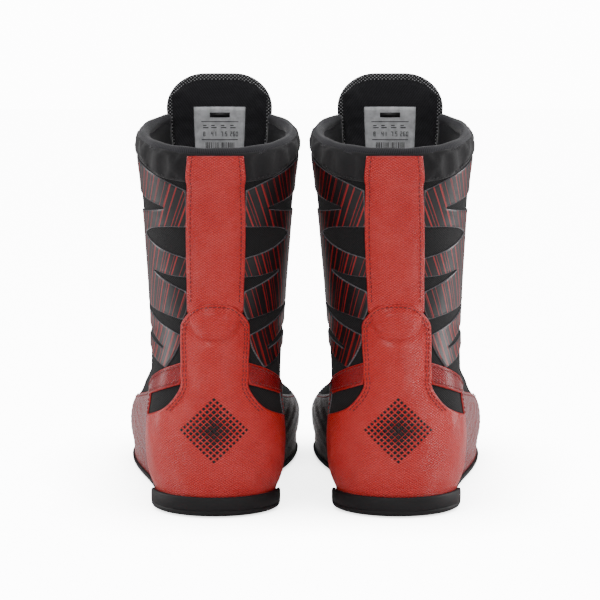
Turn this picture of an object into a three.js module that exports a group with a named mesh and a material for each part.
// A pair of high lace-up boxing boots: thin rubber soles, mesh shafts, welded overlays, red heel panels.
// Millimetres, +Z up, toes along +Y. Each boot is drawn with its outer (lateral) side at -X and the
// right boot is the mirror of the left. The origin is on the floor, under the middle of the pair.
import * as THREE from 'three';
import { mergeVertices } from 'three/addons/utils/BufferGeometryUtils.js';

// ---- driving dimensions -------------------------------------------------------------------
const FOOT_LENGTH = 274;      // heel to toe along the bed that carries the upper
const BED_HEIGHT = 8;         // where the upper's lasted edge sits above the floor
const COLLAR_HEIGHT = 214;    // collar rim at the back
const COLLAR_RISE = 0.006;     // how far the rim climbs beside the throat, as a share of the shaft
const PAIR_SPACING = 107.9;   // between the two heel centres
const LEFT_LEAN = 1.4;        // sideways lean of each soft shaft at the collar
const RIGHT_LEAN = -2.8;
const TOE_SPRING = 9;         // how far the toe curls off the floor
const SPRING_START = 190;     // where the sole starts to curl

const SOLE_FLOOR = 4;         // rubber under the foot
const RIM_HEIGHT = 12.5;      // rubber side band
const RIM_CLEAR = 1.648;      // from the band up to the pieces above it
const RIM_WALL = 2.4;         // its thickness
const RIM_GAP = 1.6;          // between the band and the upper
const MIDSOLE = 3.2;          // foam under the lasted edge
const BOARD = 1.2;            // insole board
const SOCKLINER = 3.6;        // loose footbed

const SHELL = 1.0;            // mesh base layer
const LAYER_GAP = 0.9;        // air between neighbouring inner layers
const OVERLAY_GAP = 1.0;      // between the mesh and what is welded on it
const OVERLAY = 0.8;          // film and synthetic overlays
const PADDING = 1.5;          // collar foam
const LINING = 1.0;           // knit lining
const STIFFENER = 0.9;        // heel counter and toe puff
const COVER = 1.5;            // padded collar cover
const TONGUE = 3.4;           // padded tongue
const LABEL = 0.4;            // size label on the tongue
const LABEL_GAP = 0.3;        // under the label
const SEAM = 0.004;           // half of the gap between pieces that meet edge to edge, as a turn

const STRIP_TURN = 0.118;     // half width of the back strip
const STRIP_TOP = 0.99;        // top of the back strip, just under the collar rim
const COVER_LOW = 0.925;       // lower edge of the collar cover at the back
const DOME_LEVEL = 0.572;     // top of the heel panel's dome
const FOLD_LEVEL = 0.862;     // crease across the tongue
const FOLD_GAP = 0.001;       // clearance each side of the crease
const TONGUE_TOP = 1.118;     // top of the tongue
const TONGUE_START = 0.25;     // where the tongue is sewn under the vamp
const TONGUE_DEPTH = 6.6;     // how far the tongue lies inside the outer surface
const EYELETS = 10;           // rows of lace holes
const EYELET = 0.014;         // size of a lace hole, as a share of the shaft height
const SIDE_LIFT = 0.4;        // side panels stand off a little over the hollow of the arch
const EYESTAY_LIFT = 0.3;     // eyestays lap over the mesh edge
const EYESTAY = 0.12;         // width of the eyestay, as a turn

// ---- small helpers ------------------------------------------------------------------------
const clamp = (x) => Math.min(1, Math.max(0, x));
const ease = (x) => clamp(x) * clamp(x) * (3 - 2 * clamp(x));
const mix = (a, b, t) => a + (b - a) * t;
const steps = (count) => Array.from({ length: count + 1 }, (_, i) => i / count);

// A smooth curve through a few hand-picked points [place, value].
function curve(points) {
  const x = points.map((p) => p[0]);
  const y = points.map((p) => p[1]);
  const last = x.length - 1;
  const slope = x.slice(1).map((value, i) => (y[i + 1] - y[i]) / (value - x[i]));
  const tangent = x.map((_, i) => {
    if (i === 0) return slope[0];
    if (i === last) return slope[last - 1];
    const before = x[i] - x[i - 1];
    const after = x[i + 1] - x[i];
    return (slope[i - 1] * after + slope[i] * before) / (before + after);
  });
  return (at) => {
    if (at <= x[0]) return y[0] + tangent[0] * (at - x[0]);
    if (at >= x[last]) return y[last] + tangent[last] * (at - x[last]);
    const i = x.findIndex((value) => value > at) - 1;
    const h = x[i + 1] - x[i];
    const t = (at - x[i]) / h;
    const a = (2 * t ** 3 - 3 * t ** 2 + 1) * y[i] + (t ** 3 - 2 * t ** 2 + t) * h * tangent[i];
    const b = (-2 * t ** 3 + 3 * t ** 2) * y[i + 1] + (t ** 3 - t ** 2) * h * tangent[i + 1];
    return a + b;
  };
}

// ---- the boot's outer surface -------------------------------------------------------------
// level runs from 0 at the sole to 1 at the collar, turn from 0 at the back to +-1 at the front.
const length = FOOT_LENGTH / 274;
const backY = curve([[0, 4.5], [0.025, 4.2], [0.08, 1.5], [0.14, 0.2], [0.19, 0], [0.25, 1.2], [0.31, 3.4],
  [0.38, 6.4], [0.46, 9.6], [0.56, 11.8], [0.68, 11.5], [0.8, 8.8], [0.9, 5.5], [1, 2.5], [1.13, 0]]);
const frontY = curve([[0, 274], [0.025, 274.3], [0.07, 276.6], [0.12, 274.5], [0.175, 262], [0.233, 236],
  [0.29, 205], [0.35, 176], [0.42, 149], [0.505, 130], [0.59, 120], [0.69, 114.5], [0.786, 112],
  [0.883, 111.5], [1, 112.5], [1.13, 114.5]]);
const frontZ = curve([[0, 0], [0.03, 6], [0.07, 13], [0.12, 21.5], [0.175, 32], [0.233, 42.5], [0.29, 52],
  [0.35, 61.5], [0.42, 77], [0.505, 100], [0.59, 123], [0.69, 147], [0.786, 170], [0.883, 193],
  [1, 220], [1.13, 248]]);
const shaftHalf = curve([[0, 40], [0.3, 39.5], [0.42, 39.5], [0.505, 40], [0.59, 41], [0.69, 42.5],
  [0.786, 44], [0.883, 46], [0.95, 47.5], [1, 46.5], [1.05, 44], [1.13, 42]]);
const outerHalf = curve([[0, 36.5], [60, 37], [85, 39], [110, 43.5], [135, 49], [160, 53.5], [185, 56],
  [205, 56], [225, 53], [245, 50], [278, 46]]);
const innerHalf = curve([[0, 36.5], [30, 36.5], [60, 35], [85, 33], [110, 33], [135, 36.5], [160, 42],
  [185, 46], [205, 47.5], [225, 47], [245, 46], [278, 44]]);
const bulge = curve([[0, -1.5], [0.025, -1.3], [0.05, 0.8], [0.08, 2.6], [0.14, 4], [0.2, 4], [0.26, 3.2],
  [0.33, 2], [0.45, 1]]);
const shaftShare = curve([[0, 0], [0.12, 0], [0.2, 0.05], [0.3, 0.3], [0.4, 0.7], [0.48, 0.93], [0.56, 1],
  [1.3, 1]]);
const backRound = curve([[0, 34], [0.2, 37], [0.3, 40], [0.4, 47], [0.5, 61]]);
const frontRound = curve([[0, 66], [0.12, 70], [0.233, 84], [0.29, 88], [0.35, 84], [0.42, 72],
  [0.505, 60], [0.59, 54]]);
const throatTurn = curve([[0.27, 0.93], [0.35, 0.895], [0.42, 0.862], [0.59, 0.8], [0.79, 0.75],
  [1, 0.69], [1.08, 0.675]]);

const spring = (y) => TOE_SPRING * Math.max(0, (y - SPRING_START) / (278 - SPRING_START)) ** 2;

function surfacePoint(level, turnIn, lean) {
  const turn = turnIn > 1 ? turnIn - 2 : turnIn;
  const side = turn < 0 ? -1 : 1;
  const share = (1 - Math.cos(Math.PI * turn)) / 2;
  const depth = frontY(level) - backY(level);
  const y = backY(level) + depth * share;
  const rise = COLLAR_HEIGHT - BED_HEIGHT;
  const z = BED_HEIGHT + mix(level * rise, frontZ(level) * rise / 206, share)
    + spring(y) * (1 - ease(level / 0.33));
  const shaft = clamp(shaftShare(level));
  const sideHalf = side < 0 ? outerHalf(y) : innerHalf(y);
  const foot = (sideHalf + bulge(level) * (1 - 0.55 * ease((y - 60) / 130)))
    * (1 - 0.2 * ease((level - 0.1) / 0.22) * ease((y - 110) / 80));
  const half = mix(foot, shaftHalf(level), shaft);
  const backShare = level < 0.5 ? Math.min(0.5, backRound(level) / depth) : 0.5;
  const frontShare = level < 0.59 ? Math.min(0.62, frontRound(level) / depth) : 0.5;
  const atBack = Math.sqrt(Math.max(0, 1 - (1 - Math.min(1, share / backShare)) ** 2));
  const atFront = Math.sqrt(Math.max(0, 1 - (1 - Math.min(1, (1 - share) / frontShare)) ** 2));
  const x = side * half * atBack * atFront + lean * ease((level - 0.2) / 0.8);
  return new THREE.Vector3(x, y * length, z);
}

// A point of the outer surface, moved out along its normal.
function skin(level, turn, out, lean) {
  const tiny = 0.002;
  const along = surfacePoint(level, turn + tiny, lean).sub(surfacePoint(level, turn - tiny, lean));
  const up = surfacePoint(level + tiny, turn, lean).sub(surfacePoint(level - tiny, turn, lean));
  const normal = along.cross(up).normalize();
  return surfacePoint(level, turn, lean).addScaledVector(normal, out);
}

const levelAt = (z) => (z - BED_HEIGHT) / (COLLAR_HEIGHT - BED_HEIGHT);

// ---- solids -------------------------------------------------------------------------------
// Gathers triangles and closes them into one indexed geometry.
function solid(triangles) {
  const flat = triangles.flat().flatMap((p) => [p.x, p.y, p.z]);
  const loose = new THREE.BufferGeometry();
  loose.setAttribute('position', new THREE.Float32BufferAttribute(flat, 3));
  const joined = mergeVertices(loose, 1e-4);
  joined.computeVertexNormals();
  return joined;
}

// A sheet with thickness. point(u, v, k) gives the inner (k = 0) or outer (k = 1) face, the grid
// lines are listed in across and up, and skip(i, j) leaves out a cell.
function sheet(across, up, point, skip = () => false) {
  const faces = [0, 1].map((k) => across.map((u) => up.map((v) => point(u, v, k))));
  const kept = (i, j) => i >= 0 && j >= 0 && i < across.length - 1 && j < up.length - 1 && !skip(i, j);
  const triangles = [];
  const quad = (a, b, c, d) => triangles.push([a, b, c], [a, c, d]);
  const wall = (i, j, m, n) => quad(faces[0][i][j], faces[0][m][n], faces[1][m][n], faces[1][i][j]);
  for (let i = 0; i < across.length - 1; i += 1) {
    for (let j = 0; j < up.length - 1; j += 1) {
      if (kept(i, j)) {
        quad(faces[1][i][j], faces[1][i + 1][j], faces[1][i + 1][j + 1], faces[1][i][j + 1]);
        quad(faces[0][i][j], faces[0][i][j + 1], faces[0][i + 1][j + 1], faces[0][i + 1][j]);
        if (!kept(i, j - 1)) wall(i, j, i + 1, j);
        if (!kept(i, j + 1)) wall(i + 1, j + 1, i, j + 1);
        if (!kept(i - 1, j)) wall(i, j + 1, i, j);
        if (!kept(i + 1, j)) wall(i + 1, j, i + 1, j + 1);
      }
    }
  }
  return solid(triangles);
}

// A panel between two turns and two levels, each given as a function of the other coordinate.
function panel(boot, side, options) {
  const { from, to, low, high, inside, outside, across = steps(8), up = steps(6), skip } = options;
  const asFunction = (value) => (typeof value === 'function' ? value : () => value);
  const [start, end, bottom, top] = [from, to, low, high].map(asFunction);
  const point = (u, v, k) => {
    const level = mix(bottom(u), top(u), v);
    const turn = mix(start(level), end(level), u);
    return skin(level, side * turn, k ? outside : inside, boot.lean);
  };
  return flipFor(side, sheet(across, up, point, skip));
}

// A panel drawn on the -X side runs the other way round, so its faces are turned over.
function flipFor(side, geometry) {
  if (side > 0) return geometry;
  const index = geometry.index.array;
  for (let i = 0; i < index.length; i += 3) [index[i], index[i + 1]] = [index[i + 1], index[i]];
  geometry.computeVertexNormals();
  return geometry;
}

// A slab that follows the sole's outline: offset outwards, between two heights.
const ROWS_ALONG = [0, 0.06, 0.12, 0.18, 0.25, 0.33, 0.43, 0.53, 0.62, 0.7, 0.78, 0.85, 0.9, 0.95, 1];

function outlinePoint(turn, out, z) {
  const tiny = 0.002;
  const here = surfacePoint(0, turn, 0);
  const along = surfacePoint(0, turn + tiny, 0).sub(surfacePoint(0, turn - tiny, 0)).setZ(0).normalize();
  return new THREE.Vector3(here.x + along.y * out, here.y - along.x * out, z + spring(here.y / length));
}

function crossRow(turn, out, z) {
  if (turn === 0 || turn === 1) return [outlinePoint(turn, out, z)];
  const left = outlinePoint(-turn, out, z);
  const right = outlinePoint(turn, out, z);
  return [left, left.clone().lerp(right, 0.5), right];
}

// Flat face across the outline, row by row from heel to toe; up is +1 or -1.
function cap(out, z, up) {
  const triangles = [];
  const push = (a, b, c) => triangles.push(up > 0 ? [a, b, c] : [a, c, b]);
  const rows = ROWS_ALONG.map((turn) => crossRow(turn, out, z));
  for (let i = 0; i < rows.length - 1; i += 1) {
    const [near, far] = [rows[i], rows[i + 1]];
    for (let j = 0; j < 2; j += 1) {
      if (near.length === 1) push(near[0], far[j + 1], far[j]);
      else if (far.length === 1) push(near[j], near[j + 1], far[0]);
      else {
        push(near[j], near[j + 1], far[j + 1]);
        push(near[j], far[j + 1], far[j]);
      }
    }
  }
  return triangles;
}

// Wall round the outline between two rings, facing away from the foot when outward is true.
function ringWall(lower, upper, outward) {
  const turns = [...ROWS_ALONG, ...ROWS_ALONG.slice(1, -1).reverse().map((turn) => -turn)];
  const triangles = [];
  turns.forEach((turn, i) => {
    const next = turns[(i + 1) % turns.length];
    const [a, b] = [outlinePoint(turn, ...lower), outlinePoint(next, ...lower)];
    const [c, d] = [outlinePoint(next, ...upper), outlinePoint(turn, ...upper)];
    triangles.push(...(outward ? [[a, b, c], [a, c, d]] : [[a, c, b], [a, d, c]]));
  });
  return triangles;
}

function slab(out, bottom, top) {
  const wall = ringWall([out, bottom], [out, top], true);
  return solid([...cap(out, bottom, -1), ...wall, ...cap(out, top, 1)]);
}

// Rubber sole with an upstanding band that the upper sits in.
function outsole() {
  const inner = RIM_GAP;
  const outer = RIM_GAP + RIM_WALL;
  return solid([
    ...cap(outer, 0, -1),
    ...ringWall([outer, 0], [outer, RIM_HEIGHT], true),
    ...ringWall([outer, RIM_HEIGHT], [inner, RIM_HEIGHT], true),
    ...ringWall([inner, SOLE_FLOOR], [inner, RIM_HEIGHT], false),
    ...cap(inner, SOLE_FLOOR, 1),
  ]);
}

// Grid lines round a half boot and round a whole one, closer together where the heel is tight.
const HALF_ROUND = [0, 0.04, 0.08, 0.12, 0.17, 0.22, 0.28, 0.36, 0.46, 0.58, 0.72, 0.86, 1];
const FULL_ROUND = [
  ...HALF_ROUND.slice(1).reverse().map((u) => 0.5 - u / 2),
  ...HALF_ROUND.map((u) => 0.5 + u / 2),
];

// ---- edges shared by neighbouring panels ----------------------------------------------------
const overRim = levelAt(RIM_HEIGHT + RIM_CLEAR);
const overlayIn = OVERLAY_GAP;
const overlayOut = OVERLAY_GAP + OVERLAY;
const liningOut = -(SHELL + LAYER_GAP + PADDING + LAYER_GAP);
const vampSeam = curve([[0, 0.6], [0.1, 0.64], [0.2, 0.75], [0.27, 0.925], [0.3, 0.97]]);
const vampTop = 0.275;
const SEAM_LEVELS = [0, 0.0275, 0.07, 0.115, 0.165, 0.22, vampTop];
const SHELL_TOP = 0.972;
const collarTop = (turn) => 1 + COLLAR_RISE * ease((Math.abs(turn) - 0.3) / 0.33);
const shoulder = curve([[0.03, 0.205], [0.13, 0.215], [0.22, 0.2], [0.275, 0.152], [0.345, 0.125],
  [0.42, 0.135], [0.48, 0.15], [0.515, 0.145], [0.545, 0.12], [0.562, 0.08], [DOME_LEVEL, 0.02]]);
const armLow = curve([[0.12, 0.343], [0.25, 0.303], [0.3, 0.285], [0.4, 0.26]]);
const armHigh = curve([[0.12, 0.402], [0.2, 0.385], [0.3, 0.345], [0.45, 0.27], [0.6, 0.2], [0.66, 0.185]]);
const ARM_START = 0.14;
const ARM_END = 0.25;
const SIDE_END = 0.66;
const sideStart = (level) => mix(0.225, ARM_END + SEAM, ease((level - 0.225) / 0.02));

// ---- stripe overlays ----------------------------------------------------------------------
// Each overlay is a comb: fingers reach back from a spine beside the eyestay, with slits between.
const bandOneTop = curve([[0.12, 0.893], [0.21, 0.918], [0.34, 0.942], [0.68, 0.965]]);
const slitTop = curve([[0.21, 0.842], [0.375, 0.857], [0.5, 0.865]]);
const slitBottom = curve([[0.21, 0.838], [0.375, 0.815], [0.5, 0.8]]);
const bandOneLow = curve([[0.12, 0.79], [0.4, 0.762], [0.5, 0.755]]);
const bandTwoTop = curve([[0.12, 0.7], [0.35, 0.737], [0.5, 0.752]]);
const bandTwoLow = curve([[0.12, 0.645], [0.25, 0.655], [0.5, 0.7]]);
const bandThreeTop = curve([[0.12, 0.605], [0.3, 0.646], [0.5, 0.697]]);
const bandThreeLow = curve([[0.13, 0.525], [0.378, 0.551], [0.7, 0.6]]);
const bandFourTop = curve([[0.14, 0.48], [0.398, 0.532], [0.7, 0.582]]);
const bandFourLow = curve([[0.2, 0.387], [0.378, 0.438], [0.7, 0.44]]);

const bandFour = [0, 0.33, 0.67, 1].map((v) => (turn) => mix(bandFourLow(turn), bandFourTop(turn), v));
const bandBack = curve([[0.38, 0.2], [0.48, 0.17], [0.525, 0.155], [0.6, 0.134], [1, 0.134]]);

function combOverlay(boot, side, edges, slits) {
  const across = [0, 0.13, 0.26, 0.4, 0.55, 0.7, 0.85, 1];
  const spineCell = 4;
  const point = (u, v, k) => {
    const edge = edges[v];
    const back = bandBack(edge(0.13));
    const front = throatTurn(edge(mix(back, 0.6, u))) - EYESTAY - 5 * SEAM;
    const turn = mix(back, front, u);
    return skin(edge(turn), side * turn, k ? overlayOut : overlayIn, boot.lean);
  };
  const rows = edges.map((_, i) => i);
  return flipFor(side, sheet(across, rows, point, (i, j) => slits.includes(j) && i < spineCell));
}

// ---- tongue -------------------------------------------------------------------------------
const tongueHalf = curve([[0.27, 16], [0.35, 20], [0.45, 24], [0.6, 28], [0.75, 29], [0.86, 29.3],
  [1, 31.8], [1.2, 32.4]]);
const tongueFlat = (level) => 0.55 * ease((level - 0.7) / 0.16);

// A point of the tongue: u is -1 to 1 across it, deep is measured inwards from its front face.
function tonguePoint(level, u, deep, lean) {
  const sewn = 1 - ease((level - TONGUE_START - 0.02) / 0.05);
  const depth = mix(TONGUE_DEPTH, SHELL + 0.4, sewn) + deep * (1 - 0.6 * sewn);
  const middle = skin(level, 1, -depth, lean);
  const half = tongueHalf(level) - 2 * ease((level - 1.08) / 0.1) * Math.abs(u);
  const reach = surfacePoint(level, 0.5, 0).x;
  const across = Math.min(0.8, (half * u / reach) ** 2);
  const bow = (frontY(level) - backY(level)) / 2 * (1 - Math.sqrt(1 - across));
  const lowBow = skin(level, 1, 0, 0).y - backY(level);
  const shape = Math.min(bow, lowBow) * (1 - tongueFlat(level));
  const tilt = level < 0.5 ? (0.5 - level) * 3 : 0;
  return new THREE.Vector3(middle.x + half * u, middle.y - shape, middle.z - shape * tilt * 0.55);
}

function tonguePiece(boot, low, high, rows) {
  const across = [-1, -0.75, -0.4, 0, 0.4, 0.75, 1];
  const point = (u, v, k) => {
    const rounding = 0.05 * Math.abs(u) ** 4 * ease((v - 0.6) / 0.4) * (high > 1 ? 1 : 0);
    return tonguePoint(mix(low, high, v) - rounding, u, k ? 0 : TONGUE, boot.lean);
  };
  return flipFor(-1, sheet(across, steps(rows), point));
}

function sizeLabel(boot) {
  const point = (u, v, k) => {
    const level = mix(0.905, 1.035, v);
    const deep = TONGUE + LABEL_GAP + (k ? 0 : LABEL);
    return tonguePoint(level, u, deep, boot.lean);
  };
  const half = 0.49;
  return flipFor(-1, sheet([-half, -half / 2, 0, half / 2, half], steps(2), point));
}

// ---- one boot -----------------------------------------------------------------------------
const RED = { color: 0xc8383a, roughness: 0.42, metalness: 0.1 };
const BLACK_MESH = { color: 0x1a1a1c, roughness: 0.9, metalness: 0 };
const FILM = { color: 0x2e2c2a, roughness: 0.35, metalness: 0 };
const NUBUCK = { color: 0x2b2b2b, roughness: 0.95, metalness: 0 };
const KNIT = { color: 0x26262b, roughness: 0.95, metalness: 0 };
const RUBBER = { color: 0x1f1f21, roughness: 0.7, metalness: 0 };
const FOAM = { color: 0x8a8a8a, roughness: 0.9, metalness: 0 };
const BOARD_LOOK = { color: 0xb49a72, roughness: 0.8, metalness: 0 };
const SATIN = { color: 0xb9b9bb, roughness: 0.4, metalness: 0.1 };
const DARK_RED = { color: 0x4a1416, roughness: 0.45, metalness: 0.1 };

function soleParts(add) {
  const board = SOLE_FLOOR + 0.3 + MIDSOLE;
  add('outsole', outsole(), RUBBER);
  add('midsole', slab(RIM_GAP - 0.6, SOLE_FLOOR + 0.3, board), FOAM);
  add('insole_board', slab(-SHELL - LAYER_GAP - 0.4, board + 0.5, board + 0.5 + BOARD), BOARD_LOOK);
  const liner = board + 0.8 + BOARD;
  add('sockliner', slab(liningOut - LINING - 0.6, liner, liner + SOCKLINER), KNIT);
}

function shellParts(boot, add) {
  const lap = 0.32 * EYESTAY;
  const frontEdge = (level) => (level < vampTop + 0.001 ? vampSeam(level) - SEAM
    : throatTurn(level) - EYESTAY + lap);
  const ledge = 0.0025;
  const levels = [...SEAM_LEVELS, vampTop + ledge, 0.32, 0.36, 0.41, 0.47, 0.55, 0.68, 0.83, SHELL_TOP];
  for (const [name, side] of boot.sides) {
    add(`quarter_${name}`, panel(boot, side, {
      from: SEAM, to: frontEdge, low: 0, high: 1, inside: -SHELL, outside: 0,
      across: HALF_ROUND, up: levels,
    }), BLACK_MESH);
  }
  add('vamp', panel(boot, 1, {
    from: (level) => vampSeam(level) + SEAM, to: (level) => 2 - vampSeam(level) - SEAM,
    low: 0, high: 1, inside: -SHELL, outside: 0, across: steps(16), up: SEAM_LEVELS,
  }), BLACK_MESH);
}

function innerParts(boot, add) {
  const stiffOut = -(SHELL + LAYER_GAP + 0.5);
  const stiffIn = stiffOut - STIFFENER;
  const foamOut = -(SHELL + LAYER_GAP);
  add('heel_counter', panel(boot, 1, {
    from: -0.28, to: 0.28, low: 0.06, high: 0.26, inside: stiffIn, outside: stiffOut,
    across: steps(16), up: steps(4),
  }), BOARD_LOOK);
  add('toe_puff', panel(boot, 1, {
    from: 0.84, to: 1.16, low: 0.04, high: 0.15, inside: stiffIn, outside: stiffOut,
    across: steps(8), up: steps(3),
  }), BOARD_LOOK);
  const sleeveEdge = (level) => Math.min(vampSeam(level), throatTurn(level)) - 0.16;
  add('sleeve_lining', panel(boot, 1, {
    from: (level) => -sleeveEdge(level), to: sleeveEdge, low: 0.06, high: 0.985,
    inside: liningOut - LINING, outside: liningOut, across: FULL_ROUND, up: steps(8),
  }), KNIT);
  add('collar_foam', panel(boot, 1, {
    from: -0.56, to: 0.56, low: 0.84, high: 0.975, inside: foamOut - PADDING, outside: foamOut - 0.3,
    across: steps(20), up: steps(3),
  }), FOAM);
}

function collarParts(boot, add) {
  const frontEdge = 0.655;
  const coverLow = curve([[0, COVER_LOW], [0.2, 0.93], [0.35, 0.965], [0.7, 0.985]]);
  const point = (u, v, k) => {
    const turn = mix(-frontEdge, frontEdge, u);
    const level = mix(coverLow(Math.abs(turn)), collarTop(turn), v);
    const puff = 0.8 * Math.sin(Math.PI * v);
    return skin(level, turn, k ? overlayIn + COVER + puff : overlayIn + puff * 0.5, boot.lean);
  };
  add('collar_cover', sheet(steps(20), [0, 0.35, 0.7, 1], point), NUBUCK);
  add('collar_roll', panel(boot, 1, {
    from: -frontEdge, to: frontEdge, low: 1, high: 1.012, inside: liningOut - LINING, outside: 0.2,
    across: steps(20), up: steps(1),
  }), KNIT);
}

function heelParts(boot, add) {
  const stripPoint = (u, v, k) => {
    const overCover = (COVER + 1.1) * ease((v - COVER_LOW + 0.035) / 0.03);
    return skin(v, mix(-STRIP_TURN, STRIP_TURN, u), (k ? overlayOut : overlayIn) + overCover, boot.lean);
  };
  const stripRows = [DOME_LEVEL + 0.006, 0.63, 0.69, 0.75, 0.81, 0.86, COVER_LOW - 0.035, COVER_LOW - 0.02,
    COVER_LOW - 0.005, 0.95, STRIP_TOP];
  add('back_strip', sheet(steps(6), stripRows, stripPoint), RED);
  const rows = [overRim, 0.07, 0.13, 0.18, 0.22, 0.25, 0.275, 0.31, 0.345, 0.38, 0.42, 0.48, 0.515, 0.545,
    0.562, DOME_LEVEL];
  const point = (u, v, k) => {
    const edge = shoulder(v) - SEAM / 2;
    return skin(v, mix(-edge, edge, u), k ? overlayOut : overlayIn, boot.lean);
  };
  add('heel_panel', sheet(steps(10), rows, point), RED);
}

function sideParts(boot, add) {
  for (const [name, side] of boot.sides) {
    const armPoint = (u, v, k) => {
      const turn = mix(ARM_START, ARM_END, u);
      return skin(mix(armLow(turn), armHigh(turn), v), side * turn, k ? overlayOut : overlayIn, boot.lean);
    };
    add(`ankle_arm_${name}`, flipFor(side, sheet(steps(4), steps(2), armPoint)), RED);
    const sidePoint = (u, v, k) => {
      const high = armHigh(mix(ARM_END, SIDE_END, u));
      const level = mix(overRim, high, v);
      const turn = mix(sideStart(level), SIDE_END, u);
      return skin(level, side * turn, (k ? overlayOut : overlayIn) + SIDE_LIFT, boot.lean);
    };
    const sideRows = [0, 0.14, 0.3, 0.45, 0.56, 0.63, 0.7, 0.84, 1];
    const sidePanel = flipFor(side, sheet(steps(12), sideRows, sidePoint));
    add(`side_panel_${name}`, sidePanel, side < 0 ? RED : DARK_RED);
    add(`stripe_upper_${name}`, combOverlay(boot, side,
      [bandThreeLow, bandThreeTop, bandTwoLow, bandTwoTop, bandOneLow, slitBottom, slitTop, bandOneTop],
      [1, 3]), FILM);
    add(`stripe_lower_${name}`, combOverlay(boot, side, bandFour, []), FILM);
  }
  add('toe_cap', panel(boot, 1, {
    from: 0.78, to: 1.22, low: overRim, high: (u) => mix(0.075, 0.13, Math.sin(Math.PI * u)),
    inside: overlayIn, outside: overlayOut, across: steps(10), up: steps(3),
  }), RED);
}

function eyestay(boot, side) {
  const first = 0.3;
  const last = 0.955;
  const pitch = (last - first - EYELET * 2) / (EYELETS - 1);
  const rows = [first - 0.01];
  for (let i = 0; i < EYELETS; i += 1) {
    const middle = first + EYELET + i * pitch;
    rows.push(middle - EYELET / 2, middle + EYELET / 2);
  }
  rows.push(last + 0.01);
  const point = (u, v, k) => {
    const edge = throatTurn(v);
    const out = (k ? overlayOut : overlayIn) + EYESTAY_LIFT;
    return skin(v, side * mix(edge - EYESTAY, edge, u), out, boot.lean);
  };
  const holes = (i, j) => i === 1 && j % 2 === 1;
  return flipFor(side, sheet([0, 0.55, 0.8, 1], rows, point, holes));
}

function throatParts(boot, add) {
  for (const [name, side] of boot.sides) add(`eyestay_${name}`, eyestay(boot, side), FILM);
  add('tongue_lower', tonguePiece(boot, TONGUE_START, FOLD_LEVEL - FOLD_GAP, 10), NUBUCK);
  add('tongue_top', tonguePiece(boot, FOLD_LEVEL + FOLD_GAP, TONGUE_TOP, 5), NUBUCK);
  add('size_label', sizeLabel(boot), SATIN);
}

function makeBoot(name, lean) {
  const group = new THREE.Group();
  const boot = { lean, sides: [['outer', -1], ['inner', 1]] };
  const add = (piece, geometry, look) => {
    const mesh = new THREE.Mesh(geometry, new THREE.MeshStandardMaterial(look));
    mesh.name = `${name}_${piece}`;
    group.add(mesh);
  };
  soleParts(add);
  shellParts(boot, add);
  innerParts(boot, add);
  collarParts(boot, add);
  heelParts(boot, add);
  sideParts(boot, add);
  throatParts(boot, add);
  return group;
}

// Mirrors every mesh of a boot in X and turns its triangles over again.
function mirrored(group) {
  for (const mesh of group.children) {
    mesh.geometry.scale(-1, 1, 1);
    flipFor(-1, mesh.geometry);
  }
  return group;
}

const pair = new THREE.Group();
const left = makeBoot('left', LEFT_LEAN);
left.position.x = -PAIR_SPACING / 2;
const right = mirrored(makeBoot('right', -RIGHT_LEAN));
right.position.x = PAIR_SPACING / 2;
pair.add(left, right);

// The origin goes to the middle of the pair's footprint.
const middle = new THREE.Box3().setFromObject(pair).getCenter(new THREE.Vector3());
for (const boot of pair.children) boot.position.sub(middle.setZ(0));
export default pair;
